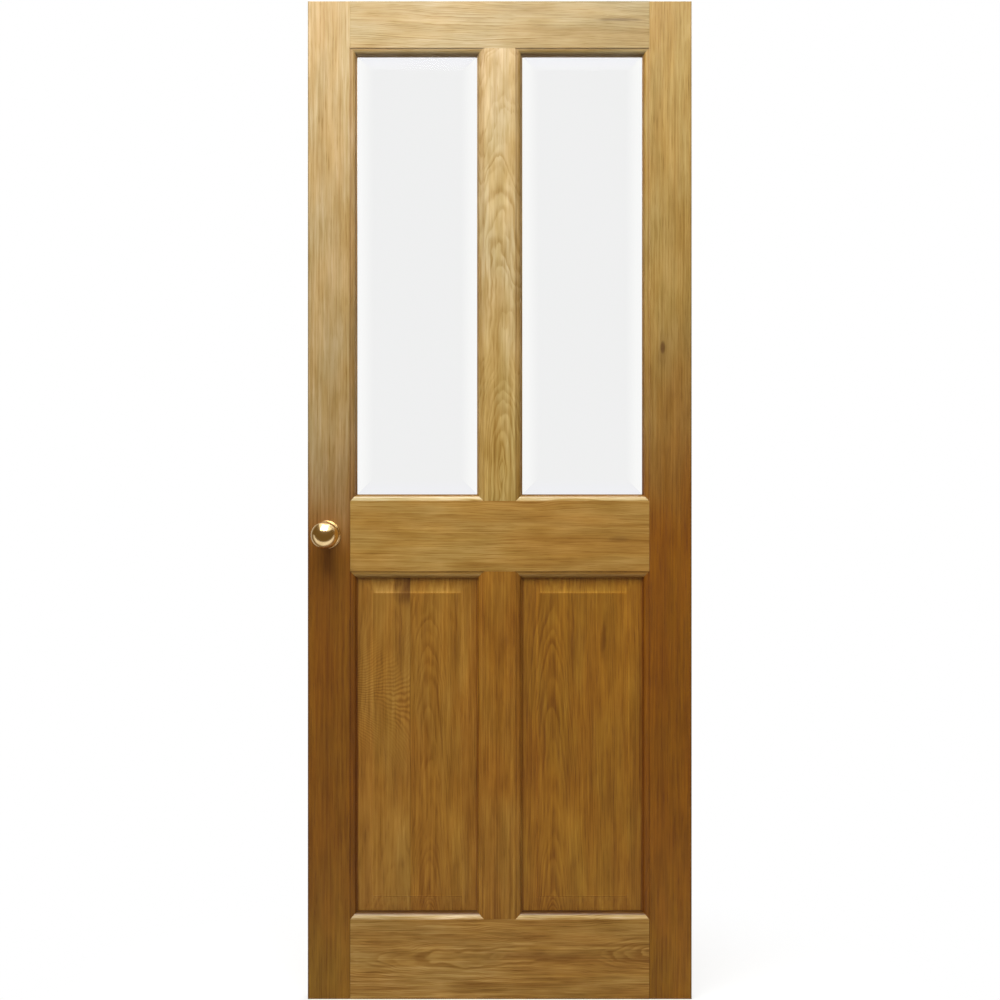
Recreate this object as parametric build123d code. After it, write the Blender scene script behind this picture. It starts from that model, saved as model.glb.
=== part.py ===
from build123d import *
from math import acos, degrees
import os

# A four panel oak door leaf: two panes of bevelled glass over two raised and fielded panels,
# with a pair of round brass knobs on a tubular latch. Lengths are in millimetres.
# The origin is at the foot of the hanging edge, in the middle of the thickness.
# X runs from the lock edge up to the hanging edge at 0, -Y faces the viewer and +Z is up.

# Leaf
door_width = 762
door_height = 1981
door_thickness = 35

# Flat faces of the framing, between the mouldings that are worked on the inner edges
stile_flat = 84
muntin_flat = 64
top_rail_flat = 93
lock_rail_flat = 140
bottom_rail_flat = 159
lock_rail_height = 919

# Ovolo moulding: a sunk fillet, a quarter round and an inner fillet
moulding_fillet = 2
moulding_radius = 9
moulding_quirk = 1.5

# Mortice and tenon joints
tenon_thickness = 12
tenon_length = 45
tenon_shoulder = 14
tenon_gap = 46
haunch = 30
muntin_tenon_length = 22
mortice_end_gap = 1

# Raised and fielded panels
groove_depth = 10
panel_gap = 2
tongue_thickness = 9
field_thickness = 18
field_step = 0.8
panel_bevel = 30

# Bevelled glass, held from behind by loose beads
glass_lip = 2
glass_thickness = 6
glass_edge = 3
glass_gap = 3
glass_bevel = 38

# Knobs and roses, with distances along their axis counted out from the door's face
backset = 38
knob_height = 922
knob_radius = 27
knob_reach = 68
neck_radius = 8.5
neck_fillet = 3
collar_radius = 10.5
collar_top = 11
collar_gap = 1
rose_radius = 27.5
rose_rim = 2.5
rose_step = 1.5
rose_height = 8
rose_crown_radius = 15
rose_clearance = 0.4
spindle_side = 8
spindle_reach = 36

# Tubular latch
case_radius = 11
case_length = 56
case_wall = 1.5
case_clearance = 0.3
follower_hole_radius = 6.25
spindle_hole_radius = 9
forend_height = 57
forend_width = 25
forend_thickness = 2.5
forend_corner = 4
bolt_height = 16
bolt_thickness = 10
bolt_length = 22
bolt_bevel = 8

# Lines that the pieces share
half = door_thickness / 2
front_face = -half
back_face = half
moulding_width = 2 * moulding_fillet + moulding_radius
moulding_depth = moulding_quirk + moulding_radius
lock_edge = -door_width
lock_shoulder = lock_edge + stile_flat
hanging_shoulder = -stile_flat
muntin_left = -door_width / 2 - muntin_flat / 2
muntin_right = muntin_left + muntin_flat
top_shoulder = door_height - top_rail_flat
lock_rail_head = lock_rail_height + lock_rail_flat / 2
lock_rail_foot = lock_rail_height - lock_rail_flat / 2
openings = {"left": (lock_shoulder, muntin_left), "right": (muntin_right, hanging_shoulder)}

# The glass seats on the corner of the rebate's lip, part of the way up its bevel
glass_seat = front_face + moulding_depth + glass_lip
bevel_drop = glass_thickness - glass_edge
glass_rim_face = glass_seat + bevel_drop * (moulding_width - glass_gap) / glass_bevel
glass_back = glass_rim_face + glass_edge

knob_x = lock_edge + backset
knob_axis = Axis((knob_x, 0, knob_height), (0, 1, 0))
latch_axis = Plane(origin=(lock_edge, 0, knob_height), x_dir=(0, 1, 0), z_dir=(1, 0, 0))


def block(x0, x1, y0, y1, z0, z1):
    """A square-cornered block."""
    return Pos(x0, y0, z0) * Box(x1 - x0, y1 - y0, z1 - z0, align=Align.MIN)


def upright(profile, x, z0, z1):
    """A section stood on end, from one height to another."""
    return Pos(x, 0, z0) * extrude(profile, z1 - z0, dir=(0, 0, 1))


def level(profile, z, x0, x1):
    """A section laid along the width, with its own X pointing up."""
    end = Plane(origin=(x0, 0, z), x_dir=(0, 0, 1), z_dir=(-1, 0, 0))
    return extrude(end * profile, x1 - x0, dir=(1, 0, 0))


def ovolo_waste():
    """What the moulding takes off an inner edge: X from the shoulder out, Y in from the face."""
    corner = Rectangle(moulding_width, moulding_depth, align=Align.MIN)
    fillet_wood = Pos(0, moulding_quirk) * Rectangle(moulding_fillet, moulding_radius, align=Align.MIN)
    quarter_round = Pos(moulding_fillet, moulding_depth) * Circle(moulding_radius)
    return corner - fillet_wood - quarter_round


def moulded_strip():
    """The strip of wood beyond the shoulder line, moulded on its front."""
    strip = Rectangle(moulding_width, door_thickness, align=(Align.MIN, Align.CENTER))
    return strip - Pos(0, front_face) * ovolo_waste()


def glazed_edge():
    """An inner edge that holds glass: moulding in front and an open rebate behind."""
    rebate = Pos(0, glass_seat) * Rectangle(moulding_width, back_face - glass_seat, align=Align.MIN)
    return moulded_strip() - rebate


def panelled_edge():
    """An inner edge that holds a panel: moulding on both faces and a groove between them."""
    groove = Pos(moulding_width, 0) * Rectangle(
        groove_depth, tongue_thickness, align=(Align.MAX, Align.CENTER)
    )
    back_moulding = mirror(Pos(0, front_face) * ovolo_waste(), about=Plane.XZ)
    return moulded_strip() - back_moulding - groove


def section(flat, low_edge=None, high_edge=None):
    """A framing member's cross-section, its flat face starting at X 0."""
    shape = Rectangle(flat, door_thickness, align=(Align.MIN, Align.CENTER))
    if low_edge is not None:
        shape += mirror(low_edge, about=Plane.YZ)
    if high_edge is not None:
        shape += Pos(flat, 0) * high_edge
    return shape


def stile_bar(x, low_edges, high_edges):
    """A stile before its mortices: grooved below the lock rail's middle and rebated above."""
    grooved = section(stile_flat, low_edges[0], high_edges[0])
    rebated = section(stile_flat, low_edges[1], high_edges[1])
    foot = upright(grooved, x, 0, lock_rail_height)
    return foot + upright(rebated, x, lock_rail_height, door_height)


def rail_tenons(spans, gap=0):
    """Tenons at both ends of a rail, from inside the moulding into the stiles."""
    reach = tenon_length + gap
    cheek = tenon_thickness / 2
    tenons = []
    for z0, z1 in spans:
        tenons.append(block(lock_shoulder - reach, lock_shoulder + moulding_width, -cheek, cheek, z0, z1))
        tenons.append(
            block(hanging_shoulder - moulding_width, hanging_shoulder + reach, -cheek, cheek, z0, z1)
        )
    return tenons


def muntin_tenons(foot, head, gap=0):
    """Stub tenons at both ends of a muntin, into the rails below and above it."""
    reach = muntin_tenon_length + gap
    cheek = tenon_thickness / 2
    sides = (muntin_left + tenon_shoulder, muntin_right - tenon_shoulder)
    return [
        block(*sides, -cheek, cheek, foot - reach, foot + moulding_width),
        block(*sides, -cheek, cheek, head - moulding_width, head + reach),
    ]


def latch_bore():
    """The latch's round mortice, its forend's recess and the hole for the spindle."""
    depth = forend_thickness + case_length + mortice_end_gap
    bore = extrude(latch_axis * Circle(case_radius + case_clearance), depth, dir=(1, 0, 0))
    hole = Pos(knob_x, 0, knob_height) * Rot(90, 0, 0) * Cylinder(spindle_hole_radius, 2 * door_thickness)
    return [bore, hole, forend_plate()]


def framing():
    """Stiles, rails and muntins, scribed over each other's moulding and tenoned together."""
    panelled, glazed = panelled_edge(), glazed_edge()
    lock_stile = stile_bar(lock_edge, (None, None), (panelled, glazed))
    hanging_stile = stile_bar(hanging_shoulder, (panelled, glazed), (None, None))

    # Each rail: its section, the height of its flat face's foot, and the heights its tenons span
    bottom_middle = (haunch + bottom_rail_flat - tenon_shoulder) / 2
    rails = {
        "bottom_rail": (
            section(bottom_rail_flat, high_edge=panelled),
            0,
            [
                (haunch, bottom_middle - tenon_gap / 2),
                (bottom_middle + tenon_gap / 2, bottom_rail_flat - tenon_shoulder),
            ],
        ),
        "lock_rail": (
            section(lock_rail_flat, low_edge=panelled, high_edge=glazed),
            lock_rail_foot,
            [
                (lock_rail_foot + tenon_shoulder, lock_rail_height - tenon_gap / 2),
                (lock_rail_height + tenon_gap / 2, lock_rail_head - tenon_shoulder),
            ],
        ),
        "top_rail": (
            section(top_rail_flat, low_edge=glazed),
            top_shoulder,
            [(top_shoulder + tenon_shoulder, door_height - haunch)],
        ),
    }
    pieces = {}
    for name, (profile, z, spans) in rails.items():
        bar = level(profile, z, lock_shoulder, hanging_shoulder)
        pieces[name] = bar - [lock_stile, hanging_stile] + rail_tenons(spans)
    for profile, z, spans in rails.values():
        lock_stile -= rail_tenons(spans, mortice_end_gap)
        hanging_stile -= rail_tenons(spans, mortice_end_gap)
    pieces["lock_stile"] = lock_stile - latch_bore()
    pieces["hanging_stile"] = hanging_stile

    muntins = {
        "lower_muntin": (panelled, "bottom_rail", bottom_rail_flat, "lock_rail", lock_rail_foot),
        "upper_muntin": (glazed, "lock_rail", lock_rail_head, "top_rail", top_shoulder),
    }
    for name, (edge, foot_rail, foot, head_rail, head) in muntins.items():
        bar = upright(section(muntin_flat, edge, edge), muntin_left, foot, head)
        pieces[name] = bar - [pieces[foot_rail], pieces[head_rail]] + muntin_tenons(foot, head)
        mortices = muntin_tenons(foot, head, mortice_end_gap)
        pieces[foot_rail] -= mortices
        pieces[head_rail] -= mortices
    return pieces


def bevelled_plate(x0, x1, z0, z1, face, outward, rise, margin):
    """The low pyramid that stands on a sheet's face and is bevelled back on all four sides."""
    foot = Plane(origin=((x0 + x1) / 2, face, (z0 + z1) / 2), x_dir=(1, 0, 0), z_dir=(0, outward, 0))
    base = Rectangle(x1 - x0, z1 - z0)
    crown = Rectangle(x1 - x0 - 2 * margin, z1 - z0 - 2 * margin)
    return loft([foot * base, foot.offset(rise) * crown], ruled=True)


def raised_panel(x0, x1):
    """A panel raised and fielded on both faces, with its tongue in the grooves round it."""
    z0, z1 = bottom_rail_flat, lock_rail_foot
    edge = moulding_width - groove_depth + panel_gap
    sight = moulding_width
    field = sight + panel_bevel
    cheek = tongue_thickness / 2
    field_face = field_thickness / 2
    shape = block(x0 + edge, x1 - edge, -cheek, cheek, z0 + edge, z1 - edge)
    shape += block(x0 + field, x1 - field, -field_face, field_face, z0 + field, z1 - field)
    rise = field_face - field_step - cheek
    for outward in (-1, 1):
        shape += bevelled_plate(
            x0 + sight, x1 - sight, z0 + sight, z1 - sight, outward * cheek, outward, rise, panel_bevel
        )
    return shape


def bevelled_pane(x0, x1):
    """A pane of plate glass, ground to a bevel all round its front face."""
    x0, x1 = x0 + glass_gap, x1 - glass_gap
    z0, z1 = lock_rail_head + glass_gap, top_shoulder - glass_gap
    rim = block(x0, x1, glass_rim_face, glass_back, z0, z1)
    return rim + bevelled_plate(x0, x1, z0, z1, glass_rim_face, -1, bevel_drop, glass_bevel)


def glazing_beads(x0, x1):
    """Four beads round an opening, moulded like the framing and mitred where they meet."""
    z0, z1 = lock_rail_head, top_shoulder
    bead = Pos(0, glass_back) * Rectangle(moulding_width, back_face - glass_back, align=Align.MIN)
    bead -= mirror(Pos(0, front_face) * ovolo_waste(), about=Plane.XZ)
    turned_bead = mirror(bead, about=Plane.YZ)
    bars = {
        "bottom": level(bead, z0, x0, x1),
        "right": upright(turned_bead, x1, z0, z1),
        "top": level(turned_bead, z1, x0, x1),
        "left": upright(bead, x0, z0, z1),
    }
    outer = [(x0, z0), (x1, z0), (x1, z1), (x0, z1)]
    inner = [
        (x + moulding_width * (1 if x == x0 else -1), z + moulding_width * (1 if z == z0 else -1))
        for x, z in outer
    ]
    beads = {}
    for side, (name, bar) in enumerate(bars.items()):
        end = (side + 1) % len(outer)
        plan = Polygon(outer[side], outer[end], inner[end], inner[side], align=None)
        beads[name] = bar & extrude(Plane.XZ * plan, door_thickness, both=True)
    return beads


def turned(profile, outward):
    """A profile of radius and distance from one face, turned about the knobs' axis."""
    foot = Plane(origin=(knob_x, outward * half, knob_height), x_dir=(1, 0, 0), z_dir=(0, 0, outward))
    return revolve(foot * profile, knob_axis)


def rose(outward):
    """A round rose with a stepped rim and a domed crown, bored for the knob's collar."""
    bore = collar_radius + rose_clearance
    shoulder = rose_radius - rose_step
    crown = Line((bore, rose_height), (rose_crown_radius, rose_height))
    dome = TangentArc((rose_crown_radius, rose_height), (shoulder, rose_rim), tangent=(1, 0))
    rim = Polyline((shoulder, rose_rim), (rose_radius, rose_rim), (rose_radius, 0), (bore, 0))
    wall = Line((bore, 0), (bore, rose_height))
    return turned(make_face([crown, dome, *rim.edges(), wall]), outward)


def knob(outward):
    """A ball knob on a neck, with a collar that runs in the rose and a socket for the spindle."""
    ball_middle = knob_reach - knob_radius
    throat = -degrees(acos(neck_radius / knob_radius))
    ball = CenterArc((0, ball_middle), knob_radius, throat, 90 - throat)
    stem = Polyline(
        (0, knob_reach),
        (0, collar_gap),
        (collar_radius, collar_gap),
        (collar_radius, collar_top),
        (neck_radius, collar_top),
        ball @ 0,
    )
    profile = make_face([ball, *stem.edges()])
    neck = profile.vertices().filter_by_position(Axis.X, neck_radius - 0.01, neck_radius + 0.01)
    profile = fillet(neck.sort_by(Axis.Y)[-1], neck_fillet)
    return turned(profile, outward) - spindle()


def spindle():
    """The square bar that joins the knobs."""
    return Pos(knob_x, 0, knob_height) * Box(spindle_side, 2 * (half + spindle_reach), spindle_side)


def forend_plate():
    """The latch's faceplate, let in flush with the lock edge."""
    plate = latch_axis * RectangleRounded(forend_width, forend_height, forend_corner)
    return extrude(plate, forend_thickness, dir=(1, 0, 0))


def latch():
    """A tubular latch: its faceplate, its case and its bevelled bolt, drawn back flush."""
    bolt_bar = extrude(latch_axis * Rectangle(bolt_thickness, bolt_height), bolt_length, dir=(1, 0, 0))
    nose = bolt_bar.edges().filter_by(Axis.Z).sort_by(Axis.X)[:2].sort_by(Axis.Y)[0]
    start = latch_axis.offset(forend_thickness)
    case = extrude(start * Circle(case_radius), case_length, dir=(1, 0, 0))
    case -= extrude(start * Circle(case_radius - case_wall), case_length - case_wall, dir=(1, 0, 0))
    case -= Pos(knob_x, 0, knob_height) * Rot(90, 0, 0) * Cylinder(follower_hole_radius, 4 * case_radius)
    return {
        "latch_forend": forend_plate() - bolt_bar,
        "latch_case": case,
        "latch_bolt": chamfer(nose, bolt_bevel),
    }


def door():
    """Every piece of the door, by name."""
    pieces = framing() | latch()
    for side, span in openings.items():
        pieces[f"{side}_panel"] = raised_panel(*span)
        pieces[f"{side}_glass"] = bevelled_pane(*span)
        for edge, bead in glazing_beads(*span).items():
            pieces[f"{side}_glass_bead_{edge}"] = bead
    for face, outward in (("front", -1), ("back", 1)):
        pieces[f"{face}_rose"] = rose(outward)
        pieces[f"{face}_knob"] = knob(outward)
    pieces["spindle"] = spindle()
    return pieces


os.makedirs("parts", exist_ok=True)
for name, piece in door().items():
    export_step(piece, f"parts/{name}.step")
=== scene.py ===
import bpy
import bmesh
from math import acos, asin, cos, pi, radians, sin
from mathutils import Matrix, Vector


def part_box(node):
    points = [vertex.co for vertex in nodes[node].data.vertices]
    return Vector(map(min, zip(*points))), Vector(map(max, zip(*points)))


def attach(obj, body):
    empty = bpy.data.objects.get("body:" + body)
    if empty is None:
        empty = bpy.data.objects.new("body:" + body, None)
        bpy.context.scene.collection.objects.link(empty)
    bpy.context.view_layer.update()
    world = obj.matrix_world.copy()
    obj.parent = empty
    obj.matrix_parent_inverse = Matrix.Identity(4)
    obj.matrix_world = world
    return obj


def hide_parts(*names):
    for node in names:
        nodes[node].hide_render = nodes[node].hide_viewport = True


# An oak door leaf with two bevelled panes over two fielded panels, seen square on.
# Metres all through. X runs across the leaf, -Y faces the camera and Z is up.
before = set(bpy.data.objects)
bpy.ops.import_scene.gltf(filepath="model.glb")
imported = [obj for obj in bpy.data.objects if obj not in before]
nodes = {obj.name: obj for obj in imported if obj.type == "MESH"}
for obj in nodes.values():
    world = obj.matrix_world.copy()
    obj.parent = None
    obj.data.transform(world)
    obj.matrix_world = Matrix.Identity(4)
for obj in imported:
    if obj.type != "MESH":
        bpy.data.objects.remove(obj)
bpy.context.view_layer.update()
print("door: loaded", len(nodes), "solids")

# Lines of the leaf that several pieces share, all read from the solids
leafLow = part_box("lock_stile")[0]
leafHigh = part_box("hanging_stile")[1]
frontFace = leafLow.y
backFace = leafHigh.y
doorMiddle = (leafLow.x + leafHigh.x) / 2
beadLow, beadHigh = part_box("left_glass_bead_left")
mouldingWidth = beadHigh.x - beadLow.x
lockShoulder = beadLow.x
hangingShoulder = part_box("right_glass_bead_right")[1].x
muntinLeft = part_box("left_glass_bead_right")[1].x
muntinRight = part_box("right_glass_bead_left")[0].x
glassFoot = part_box("left_glass_bead_bottom")[0].z
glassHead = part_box("left_glass_bead_top")[1].z
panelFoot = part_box("bottom_rail")[1].z - mouldingWidth
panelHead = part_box("lock_rail")[0].z + mouldingWidth
knobMiddle = (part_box("front_knob")[0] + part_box("front_knob")[1]) / 2
openings = {"left": (lockShoulder, muntinLeft), "right": (muntinRight, hangingShoulder)}


white = (1, 1, 1, 1)


# Helpers for node trees, used by materials and by Geometry Nodes alike

def addNode(tree, kind, fills={}, **options):
    node = tree.nodes.new(kind)
    for name, value in options.items():
        setattr(node, name, value)
    for key, value in fills.items():
        if isinstance(value, bpy.types.NodeSocket):
            tree.links.new(value, node.inputs[key])
        else:
            node.inputs[key].default_value = value
    return node


def calc(tree, operation, a, b=0.0, c=0.0):
    return addNode(tree, "ShaderNodeMath", {0: a, 1: b, 2: c}, operation=operation).outputs[0]


def plus(tree, a, b):
    return calc(tree, "ADD", a, b)


def minus(tree, a, b):
    return calc(tree, "SUBTRACT", a, b)


def times(tree, first, *others):
    for other in others:
        first = calc(tree, "MULTIPLY", first, other)
    return first


def timesPlus(tree, a, b, c):  # a times b, plus c
    return calc(tree, "MULTIPLY_ADD", a, b, c)


def vectorCalc(tree, operation, a, b=(0, 0, 0)):
    return addNode(tree, "ShaderNodeVectorMath", {0: a, 1: b}, operation=operation).outputs[0]


def axesOf(tree, vector):
    return addNode(tree, "ShaderNodeSeparateXYZ", {0: vector}).outputs


def vectorOf(tree, x, y, z):
    return addNode(tree, "ShaderNodeCombineXYZ", {0: x, 1: y, 2: z}).outputs[0]


def ease(tree, value, low, high, start=0.0, end=1.0):  # a soft step from start to end
    fills = {"Value": value, "From Min": low, "From Max": high, "To Min": start, "To Max": end}
    return addNode(tree, "ShaderNodeMapRange", fills, interpolation_type="SMOOTHSTEP").outputs[0]


# One amount within a width of a line and another beyond its reach
def nearLine(tree, value, line, width, reach, near=1.0, far=0.0):
    return ease(tree, calc(tree, "ABSOLUTE", minus(tree, value, line)), width, reach, near, far)


def mixColours(tree, factor, first, second, mode="MIX"):
    fills = {0: factor, 6: first, 7: second}
    return addNode(tree, "ShaderNodeMix", fills, data_type="RGBA", blend_type=mode).outputs[2]


def scaleColour(tree, colour, factor):
    return addNode(tree, "ShaderNodeVectorMath", {0: colour, 3: factor}, operation="SCALE").outputs[0]


# Noise about zero. The scale is in ripples for each metre across the grain, in depth and along it.
def grainNoise(tree, place, scale, detail):
    stretched = vectorCalc(tree, "MULTIPLY", place, scale)
    fills = {"Vector": stretched, "Scale": 1.0, "Detail": detail}
    return minus(tree, addNode(tree, "ShaderNodeTexNoise", fills).outputs[0], 0.5)


def newGroup(name, inputs, outputs, kind="ShaderNodeTree"):
    group = bpy.data.node_groups.new(name, kind)
    for way, sockets in (("INPUT", inputs), ("OUTPUT", outputs)):
        for label, value in sockets.items():
            socketType = "NodeSocketFloat"
            if isinstance(value, str):
                socketType = value
            elif isinstance(value, tuple):
                socketType = "NodeSocketColor" if len(value) == 4 else "NodeSocketVector"
            socket = group.interface.new_socket(name=label, in_out=way, socket_type=socketType)
            if not isinstance(value, str):
                socket.default_value = value
    start = group.nodes.new("NodeGroupInput")
    end = group.nodes.new("NodeGroupOutput")
    return group, start.outputs, end.inputs


def newMaterial(name, **settings):
    material = bpy.data.materials.new(name)
    material.use_nodes = True
    tree = material.node_tree
    shader = tree.nodes["Principled BSDF"]
    for label, value in settings.items():
        shader.inputs[label.replace("_", " ")].default_value = value
    place = tree.nodes.new("ShaderNodeTexCoord").outputs["Object"]
    return material, tree, shader, place


def bumpInto(tree, shader, height, distance, strength=1.0):
    bump = addNode(tree, "ShaderNodeBump", {"Height": height, "Distance": distance, "Strength": strength})
    tree.links.new(bump.outputs[0], shader.inputs["Normal"])


# Oak

# The figure of a plain board. Across and along are measured from the board's middle, and each value is an
# input of the oak group.
plainFigure = {
    "tone": (0.36, 0.22, 0.07),
    "footTint": (1.0, 1.0, 1.0),
    "footFrom": -9.0,
    "footTo": -9.5,
    "endTint": (1.0, 1.0, 1.0),
    "endFrom": -9.0,
    "endTo": -9.5,
    "lines": 0.45,
    "pithAcross": 0.05,
    "pithDepth": 0.09,
    "leanAcross": 0.004,
    "leanDepth": 0.012,
    "ringGap": 0.0034,
    "wave": 0.012,
    "rings": 0.62,
    "streaks": 1.2,
    "mottle": 0.45,
    "ripple": 0.0,
    "rippleAlong": 0.0,
    "knotAcross": 9.0,
    "knotAlong": 9.0,
    "knotSize": 0.006,
    "stain": (9.0, 0.0, 9.0),
    "stainReach": (0.01, 1.0, 0.05),
    "stainDepth": 0.3,
    "joint": 9.0,
}
# The painted light in its mouldings: the colour of their painted shade and of the painted highlight on the
# ledges, as inputs of the painted light group
plainPaintedLight = {"quirk": (0.70, 0.56, 0.40), "worn": (1.0, 1.0, 1.0)}
plainOak = {**plainFigure, **plainPaintedLight}

# Ripples for each metre across the grain, in depth and along it, the detail, and whether a noise is shifted
oakNoises = {
    "wander": ((6, 6, 1.9), 2.0, False),
    "depthWander": ((9, 9, 5), 3.0, True),
    "wiggle": ((60, 60, 12), 2.0, False),
    "ringFade": ((16, 16, 4), 2.0, True),
    "broadStreaks": ((42, 42, 2), 3.0, False),
    "fineStreaks": ((165, 165, 11), 2.0, False),
    "pores": ((620, 620, 26), 2.0, False),
    "rippleBend": ((22, 22, 15), 3.0, False),
    "ripplePatches": ((13, 13, 9), 1.0, True),
    "clouds": ((7, 7, 2.6), 3.0, True),
    "mottle": ((34, 34, 11), 2.5, True),
    "lines": ((230, 230, 8), 2.0, False),
    "warmth": ((24, 24, 5), 2.0, False),
    "stainEdge": ((60, 60, 20), 2.0, False),
    "tintEdge": ((9, 9, 3), 2.0, True),
    "peel": ((240, 240, 170), 1.0, False),
}

# What all boards share
oakLook = {
    "noiseShift": (3.1, 5.7, 1.3),
    "lateWood": (1.20, 1.26, 1.50),
    "earlyWood": (0.76, 0.66, 0.46),
    "baseTone": 0.3,
    "knotSlimness": 0.16,
    "knotHold": -0.25,
    "knotPush": 0.85,
    "wiggle": 0.13,
    "ringWander": 3.0,
    "ringWanderScale": 70.0,
    "ringStrength": (0.75, 0.25),
    "ringRise": (0.0, 0.2),
    "ringFall": (0.25, 0.95),
    "ringFade": (-0.16, 0.14, 0.35),
    "fineStreaks": 1.1,
    "poresInRings": 0.1,
    "poreEdge": (0.09, 0.24),
    "rippleTurn": -9.0,
    "rippleSlant": 0.1,
    "rippleBend": 0.03,
    "rippleLength": 0.0066,
    "rippleReach": 0.1,
    "ripplePatches": (-0.14, 0.1),
    "clouds": 0.3,
    "warmthEdge": (-0.16, 0.16),
    "cool": (0.975, 1.01, 1.08, 1),
    "warm": (1.03, 0.985, 0.91, 1),
    "poreDepth": -0.21,
    "stainColour": (0.42, 0.32, 0.23, 1),
    "stainEdge": 1.3,
    "stainFade": (0.2, 1.1),
    "knotFade": (0.1, 1.6),
    "knotDepth": 0.95,
    "jointWidth": 0.0012,
    "jointDepth": -0.13,
    "tintEdge": 0.3,
    "darkest": 0.2,
    "redPower": 0.76,
    "bluePower": 2.0,
    "roughness": 0.42,
    "streakRoughness": 0.1,
    "poreRoughness": 0.14,
    "poreHeight": -0.7,
    "ringHeight": -0.3,
    "peelHeight": 0.5,
}


# The name of a group's input for a key: pithAcross becomes Pith Across
def socketLabel(key):
    return "".join(" " + letter if letter.isupper() else letter for letter in key).title()


# One board, its grain along Z and its front face at Y 0: rings round a pith that leans under the face,
# so that they come up as arches, with pores, streaks, a rippled patch, a dark stain and a knot
def makeOakGroup():
    inputs = {"Place": (0.0, 0.0, 0.0)}
    inputs.update({socketLabel(key): value for key, value in plainFigure.items()})
    outputs = {"Colour": white, "Roughness": 0.0, "Height": 0.0}
    group, given, result = newGroup("oakBoard", inputs, outputs)
    place = given["Place"]
    across, depth, along = axesOf(group, place)
    shifted = vectorCalc(group, "ADD", place, oakLook["noiseShift"])
    noise = {}
    for name, (scale, detail, isShifted) in oakNoises.items():
        noise[name] = grainNoise(group, shifted if isShifted else place, scale, detail)

    # The knot pushes the lines apart round itself
    fromKnot = minus(group, across, given["Knot Across"])
    knotU = calc(group, "POWER", calc(group, "DIVIDE", fromKnot, given["Knot Size"]), 2.0)
    knotW = calc(group, "DIVIDE", minus(group, along, given["Knot Along"]), given["Knot Size"])
    knotW = times(group, calc(group, "POWER", knotW, 2.0), oakLook["knotSlimness"])
    knotSum = plus(group, knotU, knotW)
    knotPull = calc(group, "EXPONENT", times(group, knotSum, oakLook["knotHold"]))
    knotPush = times(group, fromKnot, knotPull, oakLook["knotPush"])

    # Distance from the pith, which leans and wanders
    pithAcross = timesPlus(group, along, given["Lean Across"], given["Pith Across"])
    pithDepth = timesPlus(group, along, given["Lean Depth"], given["Pith Depth"])
    ringU = minus(group, minus(group, across, pithAcross), times(group, noise["wander"], given["Wave"]))
    ringU = minus(group, ringU, knotPush)
    ringV = plus(group, minus(group, pithDepth, depth), times(group, noise["depthWander"], given["Wave"]))
    radius = calc(group, "SQRT", timesPlus(group, ringU, ringU, times(group, ringV, ringV)))
    wiggle = times(group, noise["wiggle"], given["Wave"])
    radius = timesPlus(group, wiggle, oakLook["wiggle"], radius)

    # Rings of uneven width, each with its own strength: a porous dark start, then paler late wood
    fills = {"W": times(group, radius, oakLook["ringWanderScale"]), "Scale": 1.0, "Detail": 1.0}
    uneven = addNode(group, "ShaderNodeTexNoise", fills, noise_dimensions="1D").outputs[0]
    count = calc(group, "DIVIDE", radius, given["Ring Gap"])
    count = timesPlus(group, uneven, oakLook["ringWander"], count)
    phase = calc(group, "FRACT", count)
    fills = {"W": calc(group, "FLOOR", count)}
    strength = addNode(group, "ShaderNodeTexWhiteNoise", fills, noise_dimensions="1D").outputs[0]
    strength = timesPlus(group, strength, *oakLook["ringStrength"])
    rise = ease(group, phase, *oakLook["ringRise"])
    band = times(group, rise, ease(group, phase, *oakLook["ringFall"], 1.0, 0.0))
    ringTone = times(group, band, strength, ease(group, noise["ringFade"], *oakLook["ringFade"], 1.0))

    # Streaks along the grain, and open pores: short dark dashes, most of them in the early wood
    streak = timesPlus(group, noise["fineStreaks"], oakLook["fineStreaks"], noise["broadStreaks"])
    pores = timesPlus(group, band, oakLook["poresInRings"], noise["pores"])
    pores = ease(group, pores, *oakLook["poreEdge"])

    # Rippled figure: fine waves that lie across the grain at the top and turn down it lower
    fromRipple = minus(group, along, given["Ripple Along"])
    slant = timesPlus(group, fromRipple, oakLook["rippleTurn"], oakLook["rippleSlant"])
    wavy = timesPlus(group, noise["rippleBend"], oakLook["rippleBend"], fromRipple)
    wavy = plus(group, wavy, times(group, across, slant))
    wavy = times(group, calc(group, "DIVIDE", wavy, oakLook["rippleLength"]), 2 * pi)
    reach = calc(group, "POWER", calc(group, "DIVIDE", fromRipple, oakLook["rippleReach"]), 2.0)
    reach = calc(group, "EXPONENT", times(group, reach, -1.0))
    patches = ease(group, noise["ripplePatches"], *oakLook["ripplePatches"])
    ripple = times(group, calc(group, "SINE", wavy), reach, patches, given["Ripple"])

    darkness = times(group, ringTone, given["Rings"])
    darkness = plus(group, timesPlus(group, streak, given["Streaks"], darkness), oakLook["baseTone"])
    darkness = addNode(group, "ShaderNodeClamp", {"Value": plus(group, darkness, ripple)}).outputs[0]
    lateWood = vectorCalc(group, "MULTIPLY", given["Tone"], oakLook["lateWood"])
    earlyWood = vectorCalc(group, "MULTIPLY", given["Tone"], oakLook["earlyWood"])
    colour = mixColours(group, darkness, lateWood, earlyWood)

    # Clouds of light and dark, and of yellow and red, that the wavy grain catches
    cloud = timesPlus(group, noise["clouds"], oakLook["clouds"], 1.0)
    cloud = timesPlus(group, noise["mottle"], given["Mottle"], cloud)
    cloud = timesPlus(group, noise["lines"], given["Lines"], cloud)
    cloud = timesPlus(group, pores, oakLook["poreDepth"], cloud)
    warmth = ease(group, noise["warmth"], *oakLook["warmthEdge"])
    warmth = mixColours(group, warmth, oakLook["cool"], oakLook["warm"])
    colour = mixColours(group, 1.0, colour, warmth, "MULTIPLY")

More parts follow.
